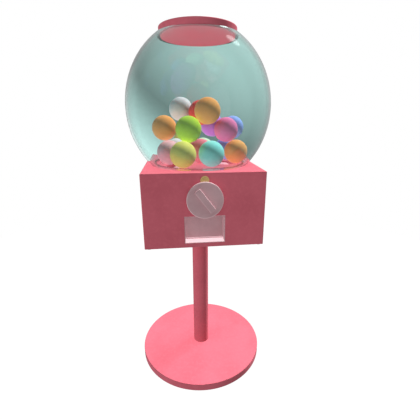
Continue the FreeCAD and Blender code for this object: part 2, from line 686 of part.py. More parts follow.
# Coin: a plain disc with a raised rim on both faces
coin = Piece("coin")
coin_middle = (front + plate_front) / 2
coin_face = d.coin_thickness / 2 - d.coin_relief
coin_inside = d.coin_diameter / 2 - d.coin_rim
coin_radius = d.coin_diameter / 2
rim_front = coin_middle - d.coin_thickness / 2
rim_back = coin_middle + d.coin_thickness / 2
coin.revolve([
    (0, coin_middle - coin_face), (coin_inside, coin_middle - coin_face), (coin_inside, rim_front),
    (coin_radius, rim_front), (coin_radius, rim_back), (coin_inside, rim_back),
    (coin_inside, coin_middle + coin_face), (0, coin_middle + coin_face),
], plane="XY_Plane")
place(coin.body, 0, 0, dial_level + d.coin_lift)

# Dispensing wheel levels, worked out from the dial shaft and the gear ratio
pocket_diameter = d.ball_diameter + 2 * d.pocket_clearance
pocket_reach = d.pocket_circle / 2
wheel_radius = pocket_reach + pocket_diameter / 2 + d.wheel_rim
wheel_foot = deck_top + d.spindle_shoulder_height
wheel_top = cabinet_top - d.wheel_sink
crown_radius = wheel_radius + d.crown_reach
pinion_radius = crown_radius / POCKETS
pitch_level = dial_level + pinion_radius
tooth_tip = pitch_level - d.addendum
tooth_root = pitch_level + d.dedendum
crown_top = tooth_root + d.crown_ring_thickness
tooth_pitch = 2 * math.pi * crown_radius / CROWN_TEETH
tooth_half = tooth_pitch * d.tooth_share / 2
tip_half = tooth_half - d.addendum * d.tooth_slope
root_half = tooth_half + d.dedendum * d.tooth_slope

# Drive shaft with its bush, coin wheel, rear bracket, pinion and clip
pinion_front = -(crown_radius + d.pinion_width / 2)
pinion_back = pinion_front + d.pinion_width
clip_back = pinion_back + d.panel_gap + d.clip_thickness
shaft_end = clip_back + d.clip_thickness
shaft_bore = d.shaft_diameter + 2 * d.running_gap
node("dial_shaft", bar("dial_shaft", d.shaft_diameter, shaft_front, shaft_end, (0, dial_level), "y"))

bush = Piece("shaft_bush")
bush_back = front_inside + d.bush_flange_thickness
bush.revolve([
    (shaft_bore / 2, front), (d.bush_diameter / 2, front), (d.bush_diameter / 2, front_inside),
    (d.bush_flange / 2, front_inside), (d.bush_flange / 2, bush_back), (shaft_bore / 2, bush_back),
], plane="XY_Plane")
place(bush.body, 0, 0, dial_level)

coin_wheel = Piece("coin_wheel")
coin_wheel_back = bush_back + d.panel_gap + d.coin_wheel_thickness
coin_wheel.pad("XZ_Plane", -coin_wheel_back, d.coin_wheel_thickness, [circle(0, 0, d.coin_wheel_diameter)])
coin_wheel.pocket("XZ_Plane", d.coin_wheel_thickness - coin_wheel_back, d.coin_wheel_thickness, [
    circle(0, 0, shaft_slip), circle(0, d.coin_wheel_notch, coin_seat),
])
place(coin_wheel.body, 0, 0, dial_level)

bracket = Piece("shaft_bracket")
bracket_half = d.bracket_width / 2
bracket_back = front_inside + d.bracket_reach
bracket_span = (dial_level - d.bracket_height / 2, d.bracket_height)
bracket.pad("XY_Plane", bracket_span[0], bracket_span[1], [[
    (-bracket_half - d.bracket_tab, front_inside), (-bracket_half + d.bracket_sheet, front_inside),
    (-bracket_half + d.bracket_sheet, bracket_back - d.bracket_sheet),
    (bracket_half - d.bracket_sheet, bracket_back - d.bracket_sheet),
    (bracket_half - d.bracket_sheet, front_inside), (bracket_half + d.bracket_tab, front_inside),
    (bracket_half + d.bracket_tab, front_inside + d.bracket_sheet),
    (bracket_half, front_inside + d.bracket_sheet), (bracket_half, bracket_back),
    (-bracket_half, bracket_back), (-bracket_half, front_inside + d.bracket_sheet),
    (-bracket_half - d.bracket_tab, front_inside + d.bracket_sheet),
]])
stud_hole = d.stud_diameter + 2 * d.slip_gap
bracket.pocket("XZ_Plane", -front_inside, d.bracket_sheet,
               [circle(x, z, stud_hole) for x, z in bracket_studs])
bracket.pocket("XZ_Plane", d.bracket_sheet - bracket_back, d.bracket_sheet,
               [circle(0, dial_level, shaft_bore)])
nuts("bracket_nuts", bracket_studs, front_inside + d.bracket_sheet, stud_hole, "y")

pinion = Piece("drive_pinion")
pinion_root = pinion_radius - d.dedendum
pinion_tip = pinion_radius + d.addendum
pinion.pad("XZ_Plane", -pinion_back, d.pinion_width, [circle(0, 0, 2 * pinion_root)])
pinion.pad("XZ_Plane", -pinion_back, d.pinion_width, [[
    (-root_half, pinion_root - PAST), (root_half, pinion_root - PAST), (root_half, pinion_root),
    (tip_half, pinion_tip), (-tip_half, pinion_tip), (-root_half, pinion_root),
]])
pinion.repeat(PINION_TEETH, "Y_Axis")
pinion.pocket("XZ_Plane", -pinion_front, d.pinion_width, [circle(0, 0, shaft_slip)])
place(pinion.body, 0, 0, dial_level)

node("shaft_clip", tube("shaft_clip", d.clip_diameter, shaft_slip,
                        clip_back - d.clip_thickness, clip_back, (0, dial_level), "y"))

# Coin ramp: a folded strip behind the bezel flange that carries the spent coin over the bezel to the drawer
coin_ramp = Piece("coin_ramp")
ramp_high = dial_level - d.coin_wheel_diameter / 2 - d.coin_ramp_gap - d.coin_ramp_sheet
ramp_bend = opening_half + d.panel_gap
ramp_bend_level = opening_high + d.panel_gap
ramp_right = d.drawer_left + d.drawer_width / 4
ramp_low = ramp_bend_level - d.coin_ramp_fall
coin_ramp_back = front_inside + d.bezel_flange_thickness + d.coin_ramp_depth
coin_ramp.pad("XZ_Plane", -coin_ramp_back, d.coin_ramp_depth, [[
    (-d.coin_ramp_start, ramp_high), (ramp_bend, ramp_bend_level), (ramp_right, ramp_low),
    (ramp_right, ramp_low + d.coin_ramp_sheet), (ramp_bend, ramp_bend_level + d.coin_ramp_sheet),
    (-d.coin_ramp_start, ramp_high + d.coin_ramp_sheet),
]])

# Wheel deck: the plate that carries the balls in the wheel, hung on four posts from the cabinet top
deck = Piece("wheel_deck")
deck_half = d.deck_size / 2
post_spots = corner_spots(d.deck_post_spacing / 2, d.deck_post_spacing / 2)
notch_half = pinion_tip + d.deck_notch_gap
deck.pad("XY_Plane", deck_under, d.deck_thickness,
         [rectangle((-deck_half, deck_half), (-deck_half, deck_half))])
deck.pocket("XY_Plane", deck_top, d.deck_thickness, [
    circle(0, -pocket_reach, pocket_diameter),
    circle(0, 0, d.spindle_diameter + 2 * d.slip_gap),
    rectangle((-notch_half, notch_half), (-deck_half - PAST, shaft_end + d.deck_notch_gap / 2)),
    *[circle(x, y, screw_hole) for x, y in post_spots],
])
posts = []
for number, spot in enumerate(post_spots):
    post = bar(f"post_{number}", d.deck_post_diameter, deck_top, ceiling, spot)
    thread = bar(f"post_thread_{number}", screw_hole, deck_top - PAST, deck_top + d.screw_grip, spot)
    posts.append(cut(f"deck_post_{number}", post, thread))
node("deck_posts", group("deck_posts", posts))
screws("deck_screws", post_spots, deck_under, -1, d.deck_thickness + d.screw_grip - PAST)

# Spindle: a shouldered pin through the deck, held by a nut below it
spindle = Piece("wheel_spindle")
spindle_radius = d.spindle_diameter / 2
spindle_foot = deck_under - d.spindle_tail
spindle_top = wheel_top - d.spindle_shoulder_height
spindle.revolve([
    (0, spindle_foot), (spindle_radius, spindle_foot), (spindle_radius, deck_top),
    (d.spindle_shoulder / 2, deck_top), (d.spindle_shoulder / 2, wheel_foot), (spindle_radius, wheel_foot),
    (spindle_radius, spindle_top), (0, spindle_top),
])
nut_blank = hexagon("spindle_nut_blank", d.spindle_nut, deck_under - d.spindle_nut_height, deck_under)
nut_thread = bar("spindle_nut_thread", d.spindle_diameter + 2 * d.slip_gap, spindle_foot, deck_top)
node("spindle_nut", cut("spindle_nut", nut_blank, nut_thread))

# Dispensing wheel: a moulded wheel, hollow from below, with five ball pockets through it
wheel = Piece("dispensing_wheel")
wheel_height = wheel_top - wheel_foot
wheel.pad("XY_Plane", wheel_foot, wheel_height, [circle(0, 0, 2 * wheel_radius)])
wheel.pocket("XY_Plane", wheel_foot, wheel_height - d.wheel_top_plate,
             [circle(0, 0, 2 * (wheel_radius - d.pocket_wall)), circle(0, 0, d.wheel_hub)], reverse=True)
wheel.pad("XY_Plane", wheel_foot, wheel_height,
          [circle(0, -pocket_reach, pocket_diameter + 2 * d.pocket_wall)])
wheel.repeat(POCKETS)
wheel.pad("XY_Plane", crown_top, d.wheel_flange_thickness, [
    circle(0, 0, 2 * (wheel_radius + d.wheel_flange_reach)),
    circle(0, 0, 2 * (wheel_radius - d.pocket_wall)),
])
wheel.pocket("XY_Plane", wheel_top, wheel_height, [circle(0, -pocket_reach, pocket_diameter)])
wheel.repeat(POCKETS)
wheel.pocket("XY_Plane", wheel_top, wheel_height, [circle(0, 0, d.spindle_diameter + 2 * d.running_gap)])
wheel.body.Placement = Placement(Vector(), Rotation(Vector(0, 0, 1), POCKET_TURN - FRONT_TURN))

# Crown gear: a toothed ring under the wheel's flange, with a tooth space at the front where the pinion meshes
crown = Piece("crown_gear")
crown_inside = wheel_radius + d.slip_gap
crown_outside = crown_radius + d.crown_ring_reach
crown.revolve([
    (crown_inside, tooth_root), (crown_outside, tooth_root),
    (crown_outside, crown_top), (crown_inside, crown_top),
])
crown.pad("XZ_Plane", crown_radius - d.tooth_length / 2, d.tooth_length, [[
    (-root_half, tooth_root), (-tip_half, tooth_tip), (tip_half, tooth_tip), (root_half, tooth_root),
]])
crown.repeat(CROWN_TEETH)
crown.body.Placement = Placement(Vector(), Rotation(Vector(0, 0, 1), 180 / CROWN_TEETH))

# Globe seat: a ring under the cabinet top with a groove for the globe's neck and a gasket in it
neck_inner = neck_radius - d.glass
seat_wall = neck_inner - d.neck_gap
groove_outer = neck_radius + d.neck_gap
groove_floor = cabinet_top - d.seat_depth
seat_foot = groove_floor - d.seat_web
seat_inner = wheel_radius + d.wheel_ring_gap
seat = Piece("globe_seat")
seat.revolve([
    (seat_inner, cabinet_top - d.seat_web), (seat_inner, cabinet_top), (seat_wall, cabinet_top),
    (seat_wall, groove_floor), (groove_outer, groove_floor), (groove_outer, ceiling),
    (d.seat_flange / 2, ceiling), (d.seat_flange / 2, ceiling - d.seat_web),
    (groove_outer + d.seat_web, ceiling - d.seat_web), (groove_outer + d.seat_web, seat_foot),
    (seat_wall - d.seat_web, seat_foot), (seat_wall - d.seat_web, cabinet_top - d.seat_web),
])
seat.pocket("XY_Plane", ceiling, d.seat_web, [circle(x, y, stud_hole) for x, y in seat_spots])
nuts("seat_nuts", seat_spots, ceiling - d.seat_web - d.nut_height, stud_hole)
gasket_top = groove_floor + d.gasket_thickness
node("globe_gasket", tube("globe_gasket", 2 * (groove_outer - d.slip_gap), 2 * (seat_wall + d.slip_gap),
                          groove_floor, gasket_top))

# Ball guard: a fixed sector on the seat ring, so that no ball drops straight through to the chute
guard_blank = bar("guard_blank", 2 * seat_wall, cabinet_top, cabinet_top + d.guard_thickness)
bind(guard_blank, "Angle", d.guard_angle)
guard_blank.Placement = Placement(guard_blank.Placement.Base, Rotation(Vector(0, 0, 1), FRONT_TURN))
bind(guard_blank, "Placement.Rotation.Angle", FRONT_TURN - d.guard_angle / 2)
guard_hole = bar("guard_hole", d.guard_inner, cabinet_top - PAST, cabinet_top + d.guard_thickness + PAST)
node("ball_guard", cut("ball_guard", guard_blank, guard_hole))

# Globe: blown glass a little taller than wide, with a neck below and a plain mouth above
half_width = d.globe_width / 2
half_height = d.globe_full_height / 2
lid_inside = d.lid_diameter / 2 - d.lid_wall
mouth_radius = lid_inside + d.mouth_gap
shoulder_radius = neck_radius + d.neck_shoulder


def curve_rise(inset, radius):
    """How far from the globe's middle its curve, inset from the outside, is at one distance from the axis."""
    share = radius / (half_width - inset)
    return (half_height - inset) * (1 - share * share).root()


globe_centre = cabinet_top + curve_rise(0, shoulder_radius)
globe_mouth = globe_centre + curve_rise(d.glass, mouth_radius)
ledge = cabinet_top + d.glass


def blown_curve(inset):
    return half_width - inset, half_height - inset, globe_centre


def glass_radius(inset, level):
    """The glass's distance from the axis at one level, on a curve inset from the outside."""
    share = (level - globe_centre) / (half_height - inset)
    return (half_width - inset) * (1 - share * share).root()


globe = Piece("globe")
globe.revolve([
    (neck_inner, gasket_top), (neck_radius, gasket_top), (neck_radius, cabinet_top),
    (shoulder_radius, cabinet_top, blown_curve(0)), (glass_radius(0, globe_mouth), globe_mouth),
    (mouth_radius, globe_mouth, blown_curve(d.glass)), (glass_radius(d.glass, ledge), ledge),
    (neck_inner, ledge),
])

# Lid: a turned cap with a flat plug that drops into the mouth, on a soft seal
lid_foot = globe_mouth + d.seal_thickness
lid_top = lid_foot + d.lid_height
lid_radius = d.lid_diameter / 2
lid = Piece("lid_cap")
lid.revolve([
    (0, lid_top - d.lid_wall), (lid_inside, lid_top - d.lid_wall), (lid_inside, lid_foot),
    (lid_radius, lid_foot), (lid_radius, lid_top), (0, lid_top),
])
lid.round(d.lid_edge, circle_at(lid_radius, z=lid_top))
plug_radius = lid_inside - d.slip_gap
plug_foot = globe_mouth - d.lid_plug_reach
node("lid_plug", bar("lid_plug", 2 * plug_radius, plug_foot, lid_foot + d.lid_plug_rise))
seal_inner = mouth_radius + d.slip_gap
node("lid_seal", tube("lid_seal", 2 * (seal_inner + d.seal_width), 2 * seal_inner, globe_mouth, lid_foot))

# Gumballs: each colour's balls, by their place in plan, set down one after another on what is below
ball_radius = d.ball_diameter.value / 2
ball_reach = d.ball_diameter.value + d.ball_gap.value
settled = []


def rest_on(level, aside):
    """The level of a ball on a flat face, or on the face's edge some way aside; 0 if it is out of reach."""
    touch = ball_radius + d.ball_gap.value
    if aside >= touch:
        return 0
    return level.value + math.sqrt(touch ** 2 - max(aside, 0) ** 2)


def ball_floor(x, y):
    """The level a ball is carried at here by the wheel, the seat, the globe's ledge or the guard."""
    out = math.hypot(x, y)
    past_guard = abs(math.degrees(math.atan2(x, -y))) - d.guard_angle.value / 2
    beside_guard = out * math.sin(math.radians(min(max(past_guard, 0), 90)))
    return max(
        rest_on(wheel_top, 0),
        rest_on(cabinet_top, seat_inner.value - out),
        rest_on(ledge, neck_inner.value - out),
        rest_on(cabinet_top + d.guard_thickness, beside_guard),
    )


def settle(x, y):
    """Lower a ball over a place in plan until it meets the floor or a ball that lies there already."""
    level = ball_floor(x, y)
    for other_x, other_y, other_level in settled:
        apart = math.hypot(x - other_x, y - other_y)
        if apart < ball_reach:
            level = max(level, other_level + math.sqrt(ball_reach ** 2 - apart ** 2))
    settled.append((x, y, level))
    return level


def gumball(name, x, y, level):
    ball = doc.addObject("Part::Sphere", name)
    bind(ball, "Radius", d.ball_diameter / 2)
    ball.Placement = Placement(Vector(x, y, level), Rotation())
    return ball


PILE = [
    ("yellow", -37, -73), ("cyan", 19, -67), ("pink", -65, -17), ("orange", 79, -14), ("rose", 2, -14),
    ("white", -49, 34), ("mint", 14, 50), ("blue", 66, 46), ("yellow", -30, 78), ("orange", -73, -10),
    ("green", -25, -55), ("magenta", 57, -11), ("blue", 82, 44), ("purple", 32, 34), ("red", 4, 0),
    ("orange", 13, -52), ("white", -37, 30),
]
colours = {}
for number, (colour, x, y) in enumerate(PILE):
    colours.setdefault(colour, []).append(gumball(f"ball_{number}", x, y, settle(x, y)))
for colour, balls in colours.items():
    node(f"gumballs_{colour}", group(f"gumballs_{colour}", balls))
pocket_level = deck_top + d.ball_gap / 2 + d.ball_diameter / 2
loaded = ring_spots(pocket_reach, POCKETS, POCKET_TURN)[1:]
loads = []
for number, (x, y) in enumerate(loaded):
    load = gumball(f"load_{number}", 0, 0, 0)
    place(load, x, y, pocket_level)
    loads.append(load)
node("gumballs_in_wheel", group("gumballs_in_wheel", loads))

doc.recompute()
for thing in doc.Objects:
    if "Invalid" in thing.State or "Error" in thing.State:
        raise RuntimeError(f"{thing.Name} failed: {thing.State}")
for thing in nodes:
    if thing.Shape.isNull() or not thing.Shape.isValid():
        raise RuntimeError(f"{thing.Label} has no valid shape")

os.makedirs("parts", exist_ok=True)
for thing in nodes:
    thing.Shape.exportStep(f"parts/{thing.Label}.step")
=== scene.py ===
"""Looks of the pedestal gumball machine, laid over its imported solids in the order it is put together.

Lengths are in metres. Every finish is worked out from a point's place on its own piece, so it moves with
the piece.
"""

import math

import bpy
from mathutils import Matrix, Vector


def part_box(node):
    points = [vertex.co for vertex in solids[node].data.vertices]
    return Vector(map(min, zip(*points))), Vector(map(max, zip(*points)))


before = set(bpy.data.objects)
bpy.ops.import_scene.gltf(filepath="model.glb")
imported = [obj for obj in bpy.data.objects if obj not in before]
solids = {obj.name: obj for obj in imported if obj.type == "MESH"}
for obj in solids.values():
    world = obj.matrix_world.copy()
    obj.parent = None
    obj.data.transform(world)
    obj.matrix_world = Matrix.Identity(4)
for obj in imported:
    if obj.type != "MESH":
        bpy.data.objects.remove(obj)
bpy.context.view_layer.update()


# Base: a heavy round iron casting, ribbed and hollow below, bolted to the pole from underneath.
# It is powder coated pink: a satin coat with a faint orange peel, a little cloudy in tone,
# and scuffed along the upper rim by shoes.
class Wire:
    """A value on its way through a finish. Arithmetic on it adds Math nodes."""

    def __init__(self, finish, socket):
        self.finish = finish
        self.socket = socket

    def maths(self, operation, first, second):
        return self.finish.node("ShaderNodeMath", {"operation": operation}, {0: first, 1: second})

    def __add__(self, other):
        return self.maths("ADD", self, other)

    def __radd__(self, other):
        return self.maths("ADD", other, self)

    def __sub__(self, other):
        return self.maths("SUBTRACT", self, other)

    def __rsub__(self, other):
        return self.maths("SUBTRACT", other, self)

    def __mul__(self, other):
        return self.maths("MULTIPLY", self, other)

    def __rmul__(self, other):
        return self.maths("MULTIPLY", other, self)

    def __truediv__(self, other):
        return self.maths("DIVIDE", self, other)

    def __rtruediv__(self, other):
        return self.maths("DIVIDE", other, self)

    def __abs__(self):
        return self.maths("ABSOLUTE", self, 0.0)

    def at_least(self, lowest):
        return self.maths("MAXIMUM", self, lowest)

    def beside(self, other):
        """How far a point lies from an axis, given its two distances across it."""
        return self.maths("SQRT", self * self + other * other, 0.0)

    def rise(self, low, high):
        """Go smoothly from 0 at low to 1 at high."""
        return self.finish.node(
            "ShaderNodeMapRange", {"interpolation_type": "SMOOTHSTEP"},
            {"Value": self, "From Min": low, "From Max": high},
        )

    def nearing(self, edge, wear):
        """Go from 0 to 1 before an edge; wear says how far from it the wear starts and is full."""
        starts, full = wear
        return self.rise(edge - starts, edge - full)

    def sibling(self, name):
        """Another output of the node that this value comes from."""
        return Wire(self.finish, self.socket.node.outputs[name])


class Finish:
    """A material, or the studio's surroundings, made of nodes."""

    def __init__(self, owner):
        owner.use_nodes = True
        self.owner = owner
        self.tree = owner.node_tree

    def node(self, kind, settings, sockets, out=0):
        made = self.tree.nodes.new(kind)
        for name, value in settings.items():
            setattr(made, name, value)
        for name, value in sockets.items():
            self.feed(made.inputs[name], value)
        return Wire(self, made.outputs[out])

    def feed(self, socket, value):
        if isinstance(value, Wire):
            self.tree.links.new(value.socket, socket)
        elif socket.type == "RGBA":
            socket.default_value = (*value, 1)
        else:
            socket.default_value = value

    def skin(self, **sockets):
        """Set the main shader's sockets; underscores stand for the spaces in their names."""
        shader = self.tree.nodes["Principled BSDF"]
        for name, value in sockets.items():
            self.feed(shader.inputs[name.replace("_", " ")], value)

    def place(self):
        return self.node("ShaderNodeTexCoord", {}, {}, "Object")

    def along(self, axis):
        """How far a point lies along an axis of the machine: X to the right, Y to the back, Z up."""
        return self.node("ShaderNodeSeparateXYZ", {}, {0: self.place()}, axis)

    def outwards(self):
        """How far a point lies from the upright line through the machine's middle."""
        return self.along("X").beside(self.along("Y"))

    def noise(self, scale, detail=3, rough=0.55):
        return self.node(
            "ShaderNodeTexNoise", {},
            {"Vector": self.place(), "Scale": scale, "Detail": detail, "Roughness": rough},
        )

    def blend(self, share, first, second):
        return self.node("ShaderNodeMix", {"data_type": "RGBA"}, {0: share, 6: first, 7: second}, 2)

    def rounded(self, radius):
        """Light edges as though they were rounded by a hair, as a thick coat or a mould leaves them."""
        return self.node("ShaderNodeBevel", {"samples": 4}, {"Radius": radius})

    def bump(self, height, depth, edges=None):
        relief = {"Height": height, "Distance": depth}
        if edges:
            relief["Normal"] = edges
        return self.node("ShaderNodeBump", {}, relief)

    def dress(self, *names):
        for name in names:
            solids[name].data.materials.clear()
            solids[name].data.materials.append(self.owner)


PINK = (0.512, 0.114, 0.150)
PINK_PALE = (0.568, 0.134, 0.172)
PINK_DEEP = (0.460, 0.097, 0.129)
PINK_RUBBED = (0.330, 0.185, 0.190)
FLECK_SHARE = 0.35
RUBBED_SHARE = 0.3
COAT_SATIN = 0.56
COAT_THICKNESS = 0.0009
PEEL_DEPTH = 0.00004


def powder_coat(name, scuff):
    """Pink powder coat that is rubbed where scuff, given the coat, says so."""
    coat = Finish(bpy.data.materials.new(name))
    cloud = coat.noise(scale=14, detail=4).rise(0.3, 0.72)
    fleck = coat.noise(scale=160, detail=2).rise(0.42, 0.75)
    rub = scuff(coat) * coat.noise(scale=420, detail=5, rough=0.7).rise(0.50, 0.68)
    peel = coat.noise(scale=650, detail=2, rough=0.4)
    tone = coat.blend(cloud, PINK_DEEP, PINK)
    tone = coat.blend(fleck * FLECK_SHARE, tone, PINK_PALE)
    coat.skin(
        Base_Color=coat.blend(rub * RUBBED_SHARE, tone, PINK_RUBBED),
        Roughness=COAT_SATIN + cloud * 0.08 - fleck * 0.05 + rub * 0.2,
        Specular_IOR_Level=0.1,
        Normal=coat.bump(peel, PEEL_DEPTH, coat.rounded(COAT_THICKNESS)),
    )
    return coat


BASE_WEAR = (0.0025, 0.0004)
base_low, base_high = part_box("base_casting")


def base_rim(coat):
    return coat.outwards().nearing(base_high.x, BASE_WEAR) * coat.along("Z").rise(base_low.z, base_high.z)


powder_coat("base_powder_coat", base_rim).dress("base_casting")

# Feet: four soft pads pressed into round pockets under the base.
# Moulded black rubber, matt, with dust ground into it; the globe's gasket and the lid's seal
# are the same rubber.
RUBBER_BLACK = (0.018, 0.018, 0.019)
RUBBER_DUST = (0.100, 0.095, 0.090)
DUST_SHARE = 0.4
RUBBER_MATT = 0.72
RUBBER_GRAIN = 0.00006
rubber = Finish(bpy.data.materials.new("black_rubber"))
dust = rubber.noise(scale=240, detail=4).rise(0.45, 0.8)
rubber.skin(
    Base_Color=rubber.blend(dust * DUST_SHARE, RUBBER_BLACK, RUBBER_DUST),
    Roughness=RUBBER_MATT + dust * 0.2,
    Normal=rubber.bump(rubber.noise(scale=900), RUBBER_GRAIN),
)
rubber.dress("base_feet", "globe_gasket", "lid_seal")

# Pole: a length of welded steel tube in the same powder coat, standing in a seat in the base.
# It is rubbed near its foot, where the floor is swept round it.
SWEPT_HEIGHT = 0.057


def pole_foot(coat):
    return 1 - coat.along("Z").rise(base_high.z, base_high.z + SWEPT_HEIGHT)


powder_coat("pole_powder_coat", pole_foot).dress("pole_tube")

# Fasteners, shafts and inner brackets: turned or pressed steel, plated with bright zinc.
# The plating has a fine spangle and dulls unevenly; most of it is out of sight inside the cabinet.
ZINC_DULL = (0.42, 0.43, 0.45)
ZINC_BRIGHT = (0.58, 0.58, 0.59)
ZINC_GLOSS = 0.30
SPANGLE_DEPTH = 0.00002
zinc = Finish(bpy.data.materials.new("zinc_plate"))
spangle = zinc.node("ShaderNodeTexVoronoi", {}, {"Vector": zinc.place(), "Scale": 380}, "Distance")
haze = zinc.noise(scale=90).rise(0.35, 0.7)
zinc.skin(
    Base_Color=zinc.blend(haze, ZINC_DULL, ZINC_BRIGHT),
    Metallic=0.92,
    Roughness=ZINC_GLOSS + spangle * 0.18 + haze * 0.1,
    Normal=zinc.bump(spangle, SPANGLE_DEPTH),
)
zinc.dress(
    "pole_plugs", "base_washer", "base_bolt", "socket_screws", "pole_bolt", "floor_screws", "drawer_guide",
    "flap_pin", "dial_shaft", "shaft_bracket", "bracket_nuts", "shaft_clip", "coin_ramp", "wheel_deck",
    "deck_posts", "deck_screws", "wheel_spindle", "spindle_nut", "seat_nuts",
)

# Pole socket: an iron cup over the pole's top, screwed to the cabinet floor from below.
# Sand-cast and left raw, with the grain of the mould on it.
IRON_DARK = (0.045, 0.044, 0.045)
IRON_GREY = (0.100, 0.098, 0.100)
IRON_DULL = 0.62
SAND_GRAIN = 0.00018
iron = Finish(bpy.data.materials.new("sand_cast_iron"))
grain = iron.noise(scale=520, detail=5, rough=0.65)
iron.skin(
    Base_Color=iron.blend(grain.rise(0.35, 0.7), IRON_DARK, IRON_GREY),
    Metallic=0.6,
    Roughness=IRON_DULL + grain * 0.2,
    Normal=iron.bump(grain, SAND_GRAIN),
)
iron.dress("pole_socket")

# Cabinet: a folded and welded steel box in pink powder coat, with its floor, drawer and globe ring.
# Hands have rubbed the coat along its outer edges.
CORNER_WEAR = (0.0020, 0.0002)
TOP_WEAR = (0.0022, 0.0002)
cabinet_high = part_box("cabinet_shell")[1]


def cabinet_edges(coat):
    side = abs(coat.along("X")).nearing(cabinet_high.x, CORNER_WEAR)
    face = abs(coat.along("Y")).nearing(cabinet_high.y, CORNER_WEAR)
    top = coat.along("Z").nearing(cabinet_high.z, TOP_WEAR)
    return side * face + side * top + face * top


cabinet_coat = powder_coat("cabinet_powder_coat", cabinet_edges)
cabinet_coat.dress("cabinet_shell", "cabinet_floor", "cash_drawer", "drawer_pull", "globe_seat")

# Chute: a moulded lining let into the front, with a flap on a pin and a trough behind it.
# Pale pink plastic with a fine spark-eroded grain, polished pale along the floor and the flap's
# lower edge, where gumballs roll and fingers push; the floor's strong paleness is also a painted highlight
# of light from above.
SHELL_PINK = (0.418, 0.258, 0.279)
SHELL_PINK_PALE = (0.474, 0.306, 0.327)
# This paled tone is wear, and on the chute floor and the dial's rim also a painted highlight.
SHELL_PINK_WORN_AND_LIT = (0.575, 0.415, 0.437)
PLASTIC_SHEEN = 0.40
MOULD_EDGE = 0.0005
MOULD_GRAIN = 0.00003


def pale_moulding(name, touched_and_lit, paled):
    """Pale pink plastic, polished and paled by a share where a mask, given the plastic, says so; the mask
    is wear, and on some pieces also a painted highlight.
    """
    plastic = Finish(bpy.data.materials.new(name))
    cloud = plastic.noise(scale=30).rise(0.3, 0.7)
    polish_and_highlight = touched_and_lit(plastic)
    grain = plastic.noise(scale=1100, detail=2)
    tone = plastic.blend(cloud, SHELL_PINK, SHELL_PINK_PALE)
    plastic.skin(
        Base_Color=plastic.blend(polish_and_highlight * paled, tone, SHELL_PINK_WORN_AND_LIT),
        Roughness=PLASTIC_SHEEN + cloud * 0.06 - polish_and_highlight * 0.14,
        Specular_IOR_Level=0.2,
        Normal=plastic.bump(grain, MOULD_GRAIN, plastic.rounded(MOULD_EDGE)),
    )
    return plastic


# Height of the paled band above the flap's foot: wear, and a painted highlight on the lit floor.
CHUTE_FLOOR_BAND = 0.003
flap_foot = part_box("chute_flap")[0].z


# The chute floor is paled as polish from wear, and as a painted highlight where light falls on it from
# above.
def chute_floor_wear_and_light(plastic):
    return 1 - plastic.along("Z").rise(flap_foot, flap_foot + CHUTE_FLOOR_BAND)


chute_plastic = pale_moulding("chute_moulding", chute_floor_wear_and_light, paled=0.9)
chute_plastic.dress("chute_bezel", "chute_flap", "chute_ramp")

# Dial: a thick disc on the drive shaft, in front of a fixed face plate with a seat for the coin.
# The same pale plastic, polished along the crest of the bar that fingers turn it by, and polished and paled
# round the rim, which is wear and also a painted highlight of the lit edge.
DIAL_WEAR_AND_HIGHLIGHT = (0.0025, 0.0002)
CREST_FULL = 0.0003
CREST_DEPTH = 0.0016
dial_low, dial_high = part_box("dial")
dial_level = (dial_low.z + dial_high.z) / 2
grip_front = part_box("dial_grip")[0].y


# The dial's rim is paled as wear, and as a painted highlight of its lit edge.
def dial_rim_wear_and_highlight(plastic):
    return plastic.along("X").beside(plastic.along("Z") - dial_level).nearing(dial_high.x, DIAL_WEAR_AND_HIGHLIGHT)


def grip_crest(plastic):
    return 1 - plastic.along("Y").rise(grip_front + CREST_FULL, grip_front + CREST_DEPTH)


pale_moulding("dial_moulding", dial_rim_wear_and_highlight, paled=0.8).dress("dial", "face_plate")
pale_moulding("grip_moulding", grip_crest, paled=0.1).dress("dial_grip")

# Coin: a small struck disc with a raised rim, standing in the seat above the dial.
# Brass, dulled by handling and brighter on the rim; the shaft's bush is turned from the same metal.
BRASS = (0.700, 0.520, 0.210)
BRASS_DULL = (0.500, 0.360, 0.140)
BRASS_BRIGHT = (0.760, 0.600, 0.270)
BRASS_SATIN = 0.42
BRIGHT_SHARE = 0.6
COIN_RIM = (0.0014, 0.0009)
HANDLING_DEPTH = 0.00003
coin_low, coin_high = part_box("coin")
coin_level = (coin_low.z + coin_high.z) / 2
brass = Finish(bpy.data.materials.new("worn_brass"))
coin_rim = brass.along("X").beside(brass.along("Z") - coin_level).nearing(coin_high.x, COIN_RIM)
tarnish = brass.noise(scale=520, detail=4, rough=0.6).rise(0.35, 0.7)
brass.skin(
    Base_Color=brass.blend(coin_rim * BRIGHT_SHARE, brass.blend(tarnish, BRASS, BRASS_DULL), BRASS_BRIGHT),
    Metallic=0.75,
    Roughness=BRASS_SATIN + tarnish * 0.16 - coin_rim * 0.1,
    Normal=brass.bump(brass.noise(scale=1500), HANDLING_DEPTH),
)
brass.dress("coin", "shaft_bush")

# Dispensing wheel and ball guard: moulded in the cabinet's pink, because they show through the globe.
# The plastic is faintly streaked by the way it flowed into the mould.
STREAKED_SHEEN = 0.50


def streaked_moulding(name, tone, deep_tone):
    """Plastic in one tone, with streaks of a deeper one."""
    plastic = Finish(bpy.data.materials.new(name))
    flow = plastic.noise(scale=22).rise(0.3, 0.7)
    plastic.skin(
        Base_Color=plastic.blend(flow, deep_tone, tone),
        Roughness=STREAKED_SHEEN + flow * 0.06,
        Normal=plastic.bump(plastic.noise(scale=900, detail=2), MOULD_GRAIN),
    )
    return plastic


streaked_moulding("pink_moulding", PINK, PINK_DEEP).dress("dispensing_wheel", "ball_guard")

